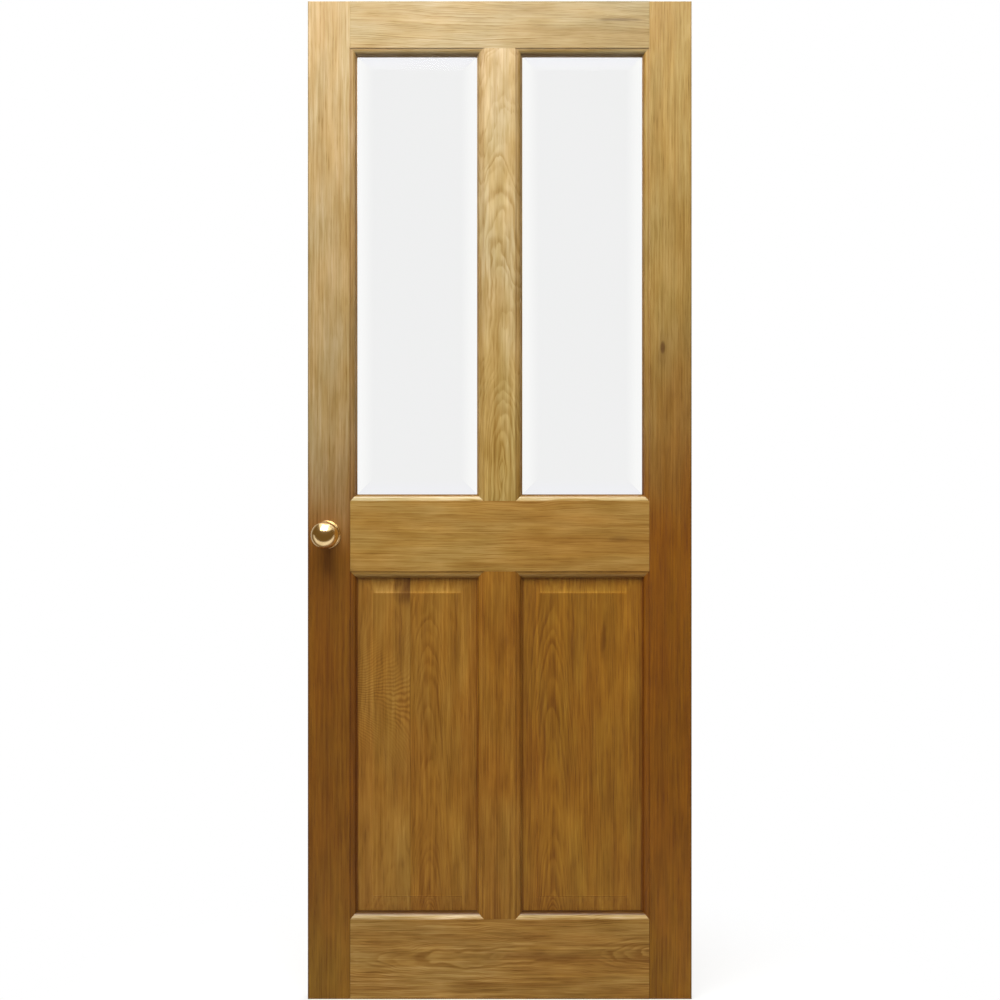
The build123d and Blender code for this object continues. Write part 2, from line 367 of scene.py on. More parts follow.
    # The dark stain and the knot
    fromStain = vectorCalc(group, "SUBTRACT", place, given["Stain"])
    fromStain = vectorCalc(group, "DIVIDE", fromStain, given["Stain Reach"])
    stain = addNode(group, "ShaderNodeVectorMath", {0: fromStain}, operation="LENGTH").outputs[1]
    stain = timesPlus(group, noise["stainEdge"], oakLook["stainEdge"], stain)
    stain = times(group, ease(group, stain, *oakLook["stainFade"], 1.0, 0.0), given["Stain Depth"])
    knot = ease(group, knotSum, *oakLook["knotFade"], oakLook["knotDepth"], 0.0)
    stained = mixColours(group, 1.0, colour, oakLook["stainColour"], "MULTIPLY")
    colour = mixColours(group, calc(group, "MAXIMUM", stain, knot), colour, stained)

    # A darker line in the joint, and tints that come in towards an end
    jointFrom = minus(group, given["Joint"], oakLook["jointWidth"])
    joint = ease(group, calc(group, "ABSOLUTE", along), jointFrom, given["Joint"])
    cloud = timesPlus(group, joint, oakLook["jointDepth"], cloud)
    wandering = timesPlus(group, noise["tintEdge"], oakLook["tintEdge"], along)
    for part in ("Foot", "End"):
        lower = ease(group, wandering, given[part + " From"], given[part + " To"])
        tinted = mixColours(group, lower, white, given[part + " Tint"])
        colour = mixColours(group, 1.0, colour, tinted, "MULTIPLY")

    # Darker grain is also warmer: blue falls faster than red
    cloud = calc(group, "MAXIMUM", cloud, oakLook["darkest"])
    red = calc(group, "POWER", cloud, oakLook["redPower"])
    blue = calc(group, "POWER", cloud, oakLook["bluePower"])
    shade = vectorOf(group, red, cloud, blue)
    group.links.new(vectorCalc(group, "MULTIPLY", colour, shade), result["Colour"])

    # The varnish is a little duller over the pores, and follows them and the rings very slightly
    rough = timesPlus(group, streak, oakLook["streakRoughness"], oakLook["roughness"])
    group.links.new(timesPlus(group, pores, oakLook["poreRoughness"], rough), result["Roughness"])
    height = times(group, ringTone, oakLook["ringHeight"])
    height = timesPlus(group, pores, oakLook["poreHeight"], height)
    height = timesPlus(group, noise["peel"], oakLook["peelHeight"], height)
    group.links.new(height, result["Height"])
    return group


# Where a spot lies beside the openings, which are folded onto one about the leaf's middle. Outside is its
# distance over an opening's edge, less than zero on the mouldings, the panels and the glass.
def spotByOpening(group, across, up):
    fromMiddle = minus(group, across, doorMiddle)
    openingMiddle = doorMiddle - (lockShoulder + muntinLeft) / 2
    folded = calc(group, "ABSOLUTE", fromMiddle)
    sideways = minus(group, folded, openingMiddle)
    rightward = calc(group, "SIGN", times(group, fromMiddle, sideways))
    sideways = minus(group, calc(group, "ABSOLUTE", sideways), (muntinLeft - lockShoulder) / 2)
    glazed = calc(group, "GREATER_THAN", up, (glassFoot + panelHead) / 2)
    foot = timesPlus(group, glazed, glassFoot - panelFoot, panelFoot)
    head = timesPlus(group, glazed, glassHead - panelHead, panelHead)
    belowFoot = minus(group, foot, up)
    overHead = minus(group, up, head)
    upward = calc(group, "MAXIMUM", belowFoot, overHead)
    atHead = calc(group, "LESS_THAN", belowFoot, overHead)
    level = calc(group, "LESS_THAN", sideways, upward)
    return {
        "glazed": glazed,
        "rightward": rightward,
        "byMuntin": calc(group, "LESS_THAN", folded, openingMiddle),
        "level": level,
        "atHead": atHead,
        "atFoot": times(group, level, minus(group, 1.0, atHead)),
        "pastMitre": minus(group, upward, sideways),
        "outside": calc(group, "MAXIMUM", sideways, upward),
    }


# Painted shade on the mouldings: a dark line in the quirk beside each flat face, another along the
# moulding's foot, and a broad painted shade between them on the upright ones, deeper on the left-hand
# moulding of each opening, which faces away from the light
def mouldingShade(group, spot):
    # Where the painted shade lies on the mouldings and how deep it is
    stain = {
        "quirk": -0.001,
        "quirkWidth": 0.0002,
        "quirkReach": 0.0045,
        "quirkSides": (0.75, 0.35),
        "foot": 0.0007,
        "footWidth": 0.0012,
        "footReach": 0.0048,
        "footSides": (1.0, 0.9),
        "shade": (-0.0042, -0.0012),
        "shadeSides": (0.5, 0.2),
        "shadeMuntin": 0.25,
        "pastFoot": 0.0008,
        "headAmount": 0.55,
    }
    outside, rightward = spot["outside"], spot["rightward"]
    quirk = nearLine(group, outside, stain["quirk"], stain["quirkWidth"], stain["quirkReach"])
    footLine = stain["foot"] - mouldingWidth
    foot = nearLine(group, outside, footLine, stain["footWidth"], stain["footReach"])
    foot = times(group, foot, ease(group, rightward, -1.0, 1.0, *stain["footSides"]))
    shade = ease(group, outside, *stain["shade"], 1.0, 0.0)
    onMoulding = calc(group, "GREATER_THAN", outside, -stain["pastFoot"] - mouldingWidth)
    shadeDepth = ease(group, rightward, -1.0, 1.0, *stain["shadeSides"])
    glazedMuntin = times(group, spot["byMuntin"], spot["glazed"])
    shadeDepth = timesPlus(group, glazedMuntin, stain["shadeMuntin"], shadeDepth)
    shade = times(group, shade, onMoulding, shadeDepth)
    upright = times(group, quirk, ease(group, rightward, -1.0, 1.0, *stain["quirkSides"]))
    upright = calc(group, "MAXIMUM", calc(group, "MAXIMUM", upright, foot), shade)
    headAmount = times(group, spot["atHead"], stain["headAmount"])
    levelAmount = times(group, calc(group, "MAXIMUM", quirk, foot), headAmount)
    return addNode(group, "ShaderNodeMix", {0: spot["level"], 2: upright, 3: levelAmount}).outputs[0]


# The mouldings that face up: a pale band painted along their round as a painted highlight, where they face
# up to the light, and the dark strip at their foot, which is a little wider and fainter beside the glass
def ledgeHighlightAndStrip(group, spot):
    ledge = {
        "worn": -0.0035,
        "highlightByGlass": -0.001,
        "highlightWidth": 0.0018,
        "highlightReach": 0.0058,
        "strip": (-0.0095, -0.0045),
        "stripByGlass": -0.0015,
        "faintByGlass": -0.45,
        "pastFoot": 0.001,
    }
    outside, glazed = spot["outside"], spot["glazed"]
    highlightLine = timesPlus(group, glazed, ledge["highlightByGlass"], ledge["worn"])
    worn = nearLine(group, outside, highlightLine, ledge["highlightWidth"], ledge["highlightReach"])
    strip = ease(group, timesPlus(group, glazed, ledge["stripByGlass"], outside), *ledge["strip"], 1.0, 0.0)
    onMoulding = calc(group, "GREATER_THAN", outside, -ledge["pastFoot"] - mouldingWidth)
    faint = timesPlus(group, glazed, ledge["faintByGlass"], 1.0)
    return times(group, worn, spot["atFoot"]), times(group, strip, spot["atFoot"], onMoulding, faint)


# Painted light on the panels' bevels: a painted highlight on the bevel at the head of each panel, which
# faces up to the light and is palest, painted shade on the foot and side bevels, and a painted highlight
# along the edge of the field within them
def panelBevelLight(group, spot):
    panel = {
        "bevelWidth": 0.0303,
        "head": (1.36, 1.52, 2.1, 1),
        "foot": (0.99, 0.97, 0.93, 1),
        "side": (0.99, 0.98, 0.97, 1),
        "headFrom": 0.009,
        "mitre": (-0.002, 0.012),
        "edgeInset": 0.0008,
        "edgeWidth": 0.0008,
        "edgeReach": 0.0042,
    }
    unglazed = minus(group, 1.0, spot["glazed"])
    inside = minus(group, times(group, spot["outside"], -1.0), mouldingWidth)
    rise = ease(group, inside, panel["headFrom"], panel["bevelWidth"])
    headAmount = times(group, rise, ease(group, spot["pastMitre"], *panel["mitre"]))
    head = mixColours(group, headAmount, white, panel["head"])
    bevel = mixColours(group, spot["atHead"], panel["foot"], head)
    bevel = mixColours(group, spot["level"], panel["side"], bevel)
    onBevel = calc(group, "LESS_THAN", inside, panel["bevelWidth"])
    onBevel = times(group, onBevel, calc(group, "GREATER_THAN", inside, 0.0), unglazed)
    edgeLine = panel["bevelWidth"] - panel["edgeInset"]
    edge = nearLine(group, inside, edgeLine, panel["edgeWidth"], panel["edgeReach"])
    return onBevel, bevel, times(group, edge, unglazed)


# The painted light and shade on the door as one tint: on the mouldings, the ledges, with their dark strips,
# and the panels' bevels, with painted shade on the leaf's upright arrises, which are darker
def makePaintedLightGroup():
    tints = {
        "strip": (0.38, 0.30, 0.20, 1),
        "fieldEdge": (1.16, 1.17, 1.25, 1),
        "arris": (0.62, 0.62, 0.55, 1),
        "arrisReach": (0.0008, 0.0038),
    }
    inputs = {"Place": (0.0, 0.0, 0.0)}
    inputs.update({socketLabel(key): value for key, value in plainPaintedLight.items()})
    group, given, result = newGroup("paintedLightTint", inputs, {"Tint": white})
    across, depth, up = axesOf(group, given["Place"])
    spot = spotByOpening(group, across, up)
    worn, strip = ledgeHighlightAndStrip(group, spot)
    onBevel, bevel, fieldEdge = panelBevelLight(group, spot)
    # Painted shade along the leaf's upright arrises, where the eased edge turns from the light
    fromSide = calc(group, "MINIMUM", minus(group, across, leafLow.x), minus(group, leafHigh.x, across))
    fromFace = minus(group, backFace, calc(group, "ABSOLUTE", depth))
    arris = ease(group, calc(group, "MAXIMUM", fromSide, fromFace), *tints["arrisReach"], 1.0, 0.0)
    layers = (
        (worn, given["Worn"]),
        (strip, tints["strip"]),
        (onBevel, bevel),
        (fieldEdge, tints["fieldEdge"]),
        (arris, tints["arris"]),
    )
    tint = mixColours(group, mouldingShade(group, spot), white, given["Quirk"])
    for amount, colour in layers:
        tint = vectorCalc(group, "MULTIPLY", tint, mixColours(group, amount, white, colour))
    group.links.new(tint, result["Tint"])
    return group


oakGroup = makeOakGroup()
paintedLightGroup = makePaintedLightGroup()


# Adds a group to a tree, with its inputs filled from the board's values of the same names
def addGroup(tree, group, place, board):
    node = tree.nodes.new("ShaderNodeGroup")
    node.node_tree = group
    tree.links.new(place, node.inputs["Place"])
    for key, value in board.items():
        if socketLabel(key) in node.inputs:
            node.inputs[socketLabel(key)].default_value = value
    return node.outputs


# One board's figure, in the board's own coordinates
def boardFigure(tree, place, board):
    turn = (0, radians(-90), 0) if board["grain"] == "level" else (0, 0, 0)
    fills = {"Vector": place, "Location": board["middle"], "Rotation": turn}
    local = addNode(tree, "ShaderNodeMapping", fills, vector_type="TEXTURE").outputs[0]
    return addGroup(tree, oakGroup, local, board)


varnish = {
    "IOR": 1.5,
    "Specular_IOR_Level": 0.32,
    "Coat_Weight": 0.2,
    "Coat_Roughness": 0.22,
}
grainRelief = {"distance": 0.00012, "strength": 0.6}
glueLine = {"width": 0.0002, "reach": 0.0012, "shade": 0.72}


# The finish of one piece, cut from one board, or from two that are glued up at a joint
def oakFinish(name, boards, seam=None):
    material, tree, shader, place = newMaterial(name, **varnish)
    outputs = boardFigure(tree, place, boards[0])
    colour, roughness, height = outputs["Colour"], outputs["Roughness"], outputs["Height"]
    if seam is not None:
        other = boardFigure(tree, place, boards[1])
        x = axesOf(tree, place)[0]
        side = calc(tree, "GREATER_THAN", x, seam)
        colour = mixColours(tree, side, colour, other["Colour"])
        height = addNode(tree, "ShaderNodeMix", {0: side, 2: height, 3: other["Height"]}).outputs[0]
        shade = nearLine(tree, x, seam, glueLine["width"], glueLine["reach"], glueLine["shade"], 1.0)
        colour = scaleColour(tree, colour, shade)
    # The painted light and shade of the mouldings, panels and arrises, laid over the grain as one tint
    tint = addGroup(tree, paintedLightGroup, place, boards[0])["Tint"]
    tree.links.new(vectorCalc(tree, "MULTIPLY", colour, tint), shader.inputs["Base Color"])
    tree.links.new(roughness, shader.inputs["Roughness"])
    bumpInto(tree, shader, height, grainRelief["distance"], grainRelief["strength"])
    return material


# Shapes

def newObject(name, data):
    piece = bpy.data.objects.new(name, data)
    bpy.context.scene.collection.objects.link(piece)
    return piece


# Ends the work on a shape and returns it as a mesh
def meshFrom(shape, name):
    mesh = bpy.data.meshes.new(name)
    shape.to_mesh(mesh)
    shape.free()
    return mesh


# Leaves a piece with one material only
def coat(piece, material):
    piece.data.materials.clear()
    piece.data.materials.append(material)


# Turns the object's evaluated shape into its own plain mesh
def settle(piece):
    bpy.context.view_layer.update()
    finished = piece.evaluated_get(bpy.context.evaluated_depsgraph_get())
    mesh = bpy.data.meshes.new_from_object(finished)
    piece.modifiers.clear()
    piece.data = mesh
    return piece


def addPiece(name, mesh, body, material, replaced=()):
    return dressPiece(newObject(name, mesh), body, material, replaced)


def dressPiece(piece, body, material, replaced=()):
    if material is not None:
        coat(piece, material)
    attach(piece, body)
    if replaced:
        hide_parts(*replaced)
    return piece


# How the solids' straight edges are found and eased, and which angles are shaded as one surface
edgeSearch = {
    "mergeWithin": 0.00001,
    "flatWithin": radians(0.3),
    "smoothUnder": radians(25),
    "straightOver": 0.999,
    "shortest": 0.006,
    "onPlane": 0.0001,
    "segments": 2,
}


# A copy of a solid with its long outside edges eased, as a joiner's block plane leaves them
def easedCopy(node, easing, outerEasing=None):
    outerEasing = outerEasing or easing
    mesh = nodes[node].data.copy()
    shape = bmesh.new()
    shape.from_mesh(mesh)
    bmesh.ops.remove_doubles(shape, verts=shape.verts, dist=edgeSearch["mergeWithin"])
    flatWithin = edgeSearch["flatWithin"]
    bmesh.ops.dissolve_limit(shape, angle_limit=flatWithin, verts=shape.verts, edges=shape.edges)
    shape.normal_update()
    weight = shape.edges.layers.float.new("bevel_weight_edge")
    for edge in shape.edges:
        edge.smooth = True
        if len(edge.link_faces) != 2:
            continue
        edge.smooth = edge.calc_face_angle() < edgeSearch["smoothUnder"]
        along = (edge.verts[1].co - edge.verts[0].co).normalized()
        straight = max(abs(along.x), abs(along.z)) > edgeSearch["straightOver"]
        long = edge.calc_length() >= edgeSearch["shortest"]
        if edge.smooth or not edge.is_convex or not straight or not long:
            continue
        ends = [vertex.co for vertex in edge.verts]
        outer = all(onOutside(point) for point in ends)
        edge[weight] = 1.0 if outer else easing / outerEasing
    for face in shape.faces:
        face.smooth = True
    shape.to_mesh(mesh)
    shape.free()
    piece = newObject(node + "_eased", mesh)
    bevel = piece.modifiers.new("easing", "BEVEL")
    bevel.limit_method = "WEIGHT"
    bevel.width = outerEasing
    bevel.segments = edgeSearch["segments"]
    bevel.harden_normals = True
    bevel.use_clamp_overlap = False
    return settle(piece)


# Whether a point lies on an outside edge of the leaf, where two of its outer planes meet
def onOutside(point):
    planes = 0
    for axis in range(3):
        gap = min(abs(point[axis] - leafLow[axis]), abs(point[axis] - leafHigh[axis]))
        if gap < edgeSearch["onPlane"]:
            planes += 1
    return planes >= 2


# Framing

joinery = {"easing": 0.0002, "outerEasing": 0.0009, "panelEasing": 0.0004}


def makeBoard(board):
    node = board["node"]
    low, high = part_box(node)
    board["middle"] = ((low.x + high.x) / 2, frontFace, (low.z + high.z) / 2)
    piece = easedCopy(node, joinery["easing"], joinery["outerEasing"])
    dressPiece(piece, "door_leaf", oakFinish(node + "Oak", [board]), [node])


plainStile = {
    **plainOak,
    "slot": "stile_oak",
    "grain": "upright",
    "endFrom": -0.66,
    "endTo": -0.92,
    "rings": 0.3,
    "streaks": 0.8,
    "lines": 0.85,
    "mottle": 0.6,
}

# The foot tint darkens and reddens the stile's lower part: partly the board's own tone, partly painted
# shade for the light that falls off down the door
lockStile = {
    **plainStile,
    "node": "lock_stile",
    "tone": (0.355, 0.241, 0.092),
    "footTint": (0.57, 0.306, 0.036),
    "footFrom": 0.225,
    "footTo": -0.14,
    "endTint": (1.12, 1.40, 1.62),
    "pithAcross": 0.16,
    "pithDepth": 0.05,
    "ringGap": 0.0058,
}
makeBoard(lockStile)

# Here too the foot tint is partly the board's own tone and partly painted shade for the light that falls
# off down the door
hangingStile = {
    **plainStile,
    "node": "hanging_stile",
    "tone": (0.313, 0.195, 0.0455),
    "footTint": (0.705, 0.39, 0.040),
    "footFrom": 0.42,
    "footTo": -0.07,
    "endTint": (1.06, 1.24, 1.25),
    "pithAcross": -0.13,
    "pithDepth": 0.06,
    "leanDepth": -0.01,
    "ringGap": 0.0055,
    "knotAcross": -0.0089,
    "knotAlong": 0.3032,
    "knotSize": 0.0054,
    "stain": (-0.0089, 0.0, 0.294),
    "stainReach": (0.013, 1.0, 0.045),
}
makeBoard(hangingStile)

plainRail = {
    **plainOak,
    "slot": "rail_oak",
    "grain": "level",
    "footFrom": 0.15,
    "footTo": -0.15,
    "joint": doorMiddle - lockShoulder,
}

topRail = {
    **plainRail,
    "node": "top_rail",
    "tone": (0.337, 0.242, 0.099),
    "footTint": (0.835, 0.82, 0.71),
    "pithAcross": 0.11,
    "pithDepth": 0.05,
    "leanAcross": 0.03,
    "wave": 0.035,
    "streaks": 0.85,
    "lines": 0.35,
    "mottle": 0.75,
    "stain": (0.016, 0.0, -0.236),
    "stainReach": (0.0042, 1.0, 0.058),
    "stainDepth": 0.75,
}
makeBoard(topRail)

lockRail = {
    **plainRail,
    "node": "lock_rail",
    "tone": (0.39, 0.222, 0.046),
    "footTint": (0.93, 0.86, 0.74),
    "pithAcross": 0.10,
    "pithDepth": 0.04,
    "wave": 0.03,
    "rings": 0.6,
    "mottle": 0.75,
    "stain": (-0.005, 0.0, -0.235),
    "stainReach": (0.008, 1.0, 0.03),
    # A strong painted highlight on the sill moulding's round, where it faces up to the light
    "worn": (1.8, 2.6, 6.4),
}
makeBoard(lockRail)

bottomRail = {
    **plainRail,
    "node": "bottom_rail",
    "tone": (0.352, 0.191, 0.037),
    "footTint": (0.90, 0.84, 0.66),
    "pithAcross": -0.002,
    "pithDepth": 0.045,
    "leanAcross": -0.012,
    "leanDepth": 0.03,
    "ringGap": 0.0026,
    "wave": 0.03,
    "rings": 1.0,
    "streaks": 1.9,
    "lines": 1.1,
    "mottle": 0.9,
    "stain": (0.0, 0.0, -0.05),
    "stainReach": (0.012, 1.0, 0.17),
    # A painted highlight on the round of the moulding at the panels' foot, where it faces up to the light
    "worn": (2.0, 2.8, 7.5),
}
makeBoard(bottomRail)

plainMuntin = {**plainOak, "slot": "muntin_oak", "grain": "upright"}

upperMuntin = {
    **plainMuntin,
    "node": "upper_muntin",
    "tone": (0.425, 0.305, 0.125),
    "footTint": (1.02, 0.93, 0.60),
    "footFrom": 0.05,
    "footTo": -0.45,
    "endTint": (0.93, 0.93, 1.0),
    "endFrom": 0.12,
    "endTo": 0.4,
    "pithAcross": 0.004,
    "pithDepth": 0.06,
    "leanDepth": 0.1,
    "ringGap": 0.0046,
    "rings": 0.6,
    "wave": 0.045,
    "mottle": 0.85,
    "lines": 0.4,
    "joint": (glassHead - glassFoot) / 2,
    # The quirk colour here is the painted shade on its mouldings
    "quirk": (0.62, 0.52, 0.34),
}
makeBoard(upperMuntin)

lowerMuntin = {
    **plainMuntin,
    "node": "lower_muntin",
    "tone": (0.294, 0.122, 0.009),
    "endTint": (1.0, 1.10, 1.45),
    "endFrom": -0.05,
    "endTo": -0.2,
    "pithAcross": -0.09,
    "pithDepth": 0.05,
    "lines": 1.05,
    "mottle": 1.0,
    "joint": (panelHead - panelFoot) / 2,
    # The quirk colour here is a faint painted shade on its mouldings
    "quirk": (0.86, 0.80, 0.70),
}
makeBoard(lowerMuntin)
print("door: framing eased and varnished")


# Panels. The left one is glued up from two boards that meet at the seam.

panelMiddleZ = (panelFoot + panelHead) / 2

leftPanel = {
    "seam": -0.5595,
    "boards": [
        {
            **plainOak,
            "grain": "upright",
            "middle": (-0.62, frontFace, panelMiddleZ),
            "tone": (0.295, 0.133, 0.0145),
            "pithAcross": 0.03,
            "pithDepth": 0.16,
            "rings": 0.35,
            "streaks": 0.8,
            "lines": 0.85,
            "mottle": 0.75,
            "ripple": 0.45,
            "rippleAlong": 0.09,
            "footTint": (1.02, 1.08, 1.15),
            "footFrom": -0.08,
            "footTo": -0.28,
            "stain": (0.0605, 0.0, 0.322),
            "stainReach": (0.034, 1.0, 0.055),
            "stainDepth": 0.9,
        },
        {
            **plainOak,
            "grain": "upright",
            "middle": (-0.51, frontFace, panelMiddleZ),
            "tone": (0.292, 0.127, 0.0113),
            "footTint": (0.97, 0.98, 0.87),
            "footFrom": 0.1,
            "footTo": -0.2,
            "pithAcross": -0.012,
            "pithDepth": 0.05,
            "leanDepth": 0.07,
            "lines": 0.85,
            "mottle": 0.7,
            "rings": 0.5,
            "wave": 0.024,
        },
    ],
}
leftPanelOak = oakFinish("leftPanelOak", leftPanel["boards"], leftPanel["seam"])
leftEased = easedCopy("left_panel", joinery["panelEasing"])
dressPiece(leftEased, "door_leaf", leftPanelOak, ["left_panel"])

rightPanel = {
    **plainOak,
    "grain": "upright",
    "middle": (-0.277, frontFace, panelMiddleZ),
    "tone": (0.279, 0.116, 0.007),
    "footTint": (1.04, 1.10, 1.12),
    "footFrom": -0.05,
    "footTo": -0.28,
    "pithAcross": 0.002,
    "pithDepth": 0.048,
    "leanDepth": 0.06,
    "ringGap": 0.0036,
    "rings": 0.75,
    "lines": 0.85,
    "mottle": 0.7,
    "wave": 0.016,
    "stain": (0.103, 0.0, 0.21),
    "stainReach": (0.008, 1.0, 0.06),
    "stainDepth": 0.7,
}
rightPanelOak = oakFinish("rightPanelOak", [rightPanel])
rightEased = easedCopy("right_panel", joinery["panelEasing"])
dressPiece(rightEased, "door_leaf", rightPanelOak, ["right_panel"])
print("door: panels done")


# Geometry Nodes

# Hangs a tree on a piece, sets its inputs by identifier and turns the result into a plain mesh
def growPiece(piece, tree, inputs):
    modifier = piece.modifiers.new(tree.name, "NODES")
    modifier.node_group = tree
    for item in tree.interface.items_tree:
        if item.in_out == "INPUT" and item.name in inputs:
            modifier[item.identifier] = inputs[item.name]
    return settle(piece)


# A tree that takes a geometry, settings and a finish
def newTree(name, settings):
    inputs = {"Geometry": "NodeSocketGeometry", **settings, "Finish": "NodeSocketMaterial"}
    return newGroup(name, inputs, {"Geometry": "NodeSocketGeometry"}, "GeometryNodeTree")


# Every tree ends alike: a real mesh in the finish that it was given
def finishTree(tree, shape, given, result):
    shape = addNode(tree, "GeometryNodeRealizeInstances", {0: shape}).outputs[0]
    shape = addNode(tree, "GeometryNodeSetMaterial", {0: shape, "Material": given["Finish"]}).outputs[0]
    tree.links.new(shape, result[0])
    return tree


# A mitred bead that runs up Z: its section in X and Y, its outer side at X 0 and its seat at Y 0
def makeBeadTree():
    settings = {
        "Length": 0.9,
        "Width": 0.013,
        "Depth": 0.0187,
        "Sunk": 0.0015,
        "Fillet": 0.002,
        "Round": 0.009,
    }
    tree, given, result = newTree("mitredBead", settings)
    face = minus(tree, given["Depth"], given["Sunk"])
    lip = minus(tree, face, given["Round"])
    corners = [
        (given["Width"], lip),
        (given["Width"], 0.0),
        (0.0, 0.0),
        (0.0, face),
        (given["Fillet"], face),
    ]
    # The quarter round, from its top edge down to the lip, then the square corners in order
    roundArc = addNode(
        tree,
        "GeometryNodeCurveArc",
        {"Resolution": 13, "Radius": given["Round"], "Start Angle": pi / 2, "Sweep Angle": -pi / 2},
        mode="RADIUS",
    ).outputs[0]
    arcPoints = addNode(tree, "GeometryNodeCurveToPoints", {0: roundArc}, mode="EVALUATED").outputs[0]
    arcMiddle = vectorOf(tree, given["Fillet"], lip, 0.0)
    arcPoints = addNode(tree, "GeometryNodeSetPosition", {0: arcPoints, "Offset": arcMiddle}).outputs[0]
    index = tree.nodes.new("GeometryNodeInputIndex").outputs[0]
    switch = tree.nodes.new("GeometryNodeIndexSwitch")
    switch.data_type = "VECTOR"
    while len(switch.index_switch_items) < len(corners):
        switch.index_switch_items.new()
    tree.links.new(index, switch.inputs["Index"])
    for number, (x, y) in enumerate(corners):
        corner = vectorOf(tree, x, y, 0.0)
        tree.links.new(corner, switch.inputs[number + 1])
    cornerPoints = addNode(tree, "GeometryNodePoints", {"Count": len(corners)}).outputs[0]
    cornerPoints = addNode(
        tree, "GeometryNodeSetPosition", {0: cornerPoints, "Position": switch.outputs[0]}
    ).outputs[0]
    joined = tree.nodes.new("GeometryNodeJoinGeometry")
    for points in (cornerPoints, arcPoints):  # the last link comes first in the joined order
        tree.links.new(points, joined.inputs[0])
    ordered = {0: joined.outputs[0], "Weight": index}
    outline = addNode(tree, "GeometryNodePointsToCurves", ordered).outputs[0]
    outline = addNode(tree, "GeometryNodeSetSplineCyclic", {0: outline, "Cyclic": True}).outputs[0]
    top = vectorOf(tree, 0.0, 0.0, given["Length"])
    path = addNode(tree, "GeometryNodeCurvePrimitiveLine", {"End": top}).outputs[0]
    bar = addNode(
        tree, "GeometryNodeCurveToMesh", {"Curve": path, "Profile Curve": outline, "Fill Caps": True}
    ).outputs[0]
    # Each end leans by the distance from the outer side, which makes the mitre
    spot = tree.nodes.new("GeometryNodeInputPosition").outputs[0]
    across, _, up = axesOf(tree, spot)
    share = calc(tree, "DIVIDE", up, given["Length"])
    lean = times(tree, across, timesPlus(tree, share, -2.0, 1.0))
    shift = vectorOf(tree, 0.0, 0.0, lean)
    bar = addNode(tree, "GeometryNodeSetPosition", {0: bar, "Offset": shift}).outputs[0]
    return finishTree(tree, bar, given, result)


# Panel pins along the lines of a mesh, leaning out between its inner side and +Y
def makePinTree():
    settings = {
        "Spacing": 0.15,
        "Head Radius": 0.0009,
        "Head Rise": 0.0003,
    }
    tree, given, result = newTree("panelPins", settings)
    lines = addNode(tree, "GeometryNodeMeshToCurve", {0: given["Geometry"]}).outputs[0]
    lines = addNode(
        tree, "GeometryNodeResampleCurve", {"Curve": lines, "Length": given["Spacing"]}, mode="LENGTH"
    ).outputs[0]
    tangent = tree.nodes.new("GeometryNodeInputTangent").outputs[0]
    inward = vectorCalc(tree, "CROSS_PRODUCT", tangent, (0, 1, 0))
    outward = vectorCalc(tree, "ADD", inward, (0, 1, 0))
    turn = addNode(tree, "FunctionNodeAlignRotationToVector", {"Vector": outward}, axis="Z").outputs[0]
    height = times(tree, given["Head Rise"], 2.0)
    head = addNode(
        tree, "GeometryNodeMeshCylinder", {"Vertices": 14, "Radius": given["Head Radius"], "Depth": height}
    ).outputs[0]
    pins = addNode(
        tree, "GeometryNodeInstanceOnPoints", {"Points": lines, "Instance": head, "Rotation": turn}
    ).outputs[0]
    return finishTree(tree, pins, given, result)


# Slotted screw heads on the points of a mesh, each turned a little from the last
def makeScrewTree():
    settings = {
        "Head Radius": 0.003,
        "Head Depth": 0.0012,
        "Slot Width": 0.0007,
        "Slot Depth": 0.0006,
        "Facing": (0.0, 0.0, 1.0),
    }
    tree, given, result = newTree("slottedScrews", settings)
    size = {"Vertices": 32, "Radius": given["Head Radius"], "Depth": given["Head Depth"]}
    head = addNode(tree, "GeometryNodeMeshCylinder", size).outputs[0]
    drop = times(tree, given["Head Depth"], -0.5)
    sink = vectorOf(tree, 0.0, 0.0, drop)
    head = addNode(tree, "GeometryNodeTransform", {0: head, "Translation": sink}).outputs[0]
    slotLength = times(tree, given["Head Radius"], 3.0)
    slotHeight = times(tree, given["Slot Depth"], 2.0)
    slotSize = vectorOf(tree, slotLength, given["Slot Width"], slotHeight)
    slotBox = addNode(tree, "GeometryNodeMeshCube", {"Size": slotSize}).outputs[0]
    cut = addNode(tree, "GeometryNodeMeshBoolean", {0: head, 1: slotBox}, operation="DIFFERENCE").outputs[0]
    turns = {"Min": (0.0, 0.0, 0.2), "Max": (0.0, 0.0, 2.9), "Seed": 11}
    spin = addNode(tree, "FunctionNodeRandomValue", turns, data_type="FLOAT_VECTOR").outputs[0]
    facing = {"Vector": given["Facing"]}
    turn = addNode(tree, "FunctionNodeAlignRotationToVector", facing, axis="Z").outputs[0]
    turned = {"Rotation": turn, "Rotate By": spin}
    turn = addNode(tree, "FunctionNodeRotateRotation", turned, rotation_space="LOCAL").outputs[0]
    placed = {"Points": given["Geometry"], "Instance": cut, "Rotation": turn}
    screws = addNode(tree, "GeometryNodeInstanceOnPoints", placed).outputs[0]
    return finishTree(tree, screws, given, result)


# A bare mesh of points and lines for a tree to work on
def layOut(name, points, lines=()):
    mesh = bpy.data.meshes.new(name)
    mesh.from_pydata(points, lines, [])
    return newObject(name, mesh)


# Glass beads at the back, mitred round each pane

glassBeads = {"sunk": 0.0015, "fillet": 0.002, "round": 0.009, "rings": 0.5}
beadOak = {}
for grain in ("upright", "level"):
    middle = (doorMiddle, frontFace, (glassFoot + glassHead) / 2)
    board = {**plainOak, "grain": grain, "rings": glassBeads["rings"], "middle": middle}
    beadOak[grain] = oakFinish(grain + "BeadOak", [board])

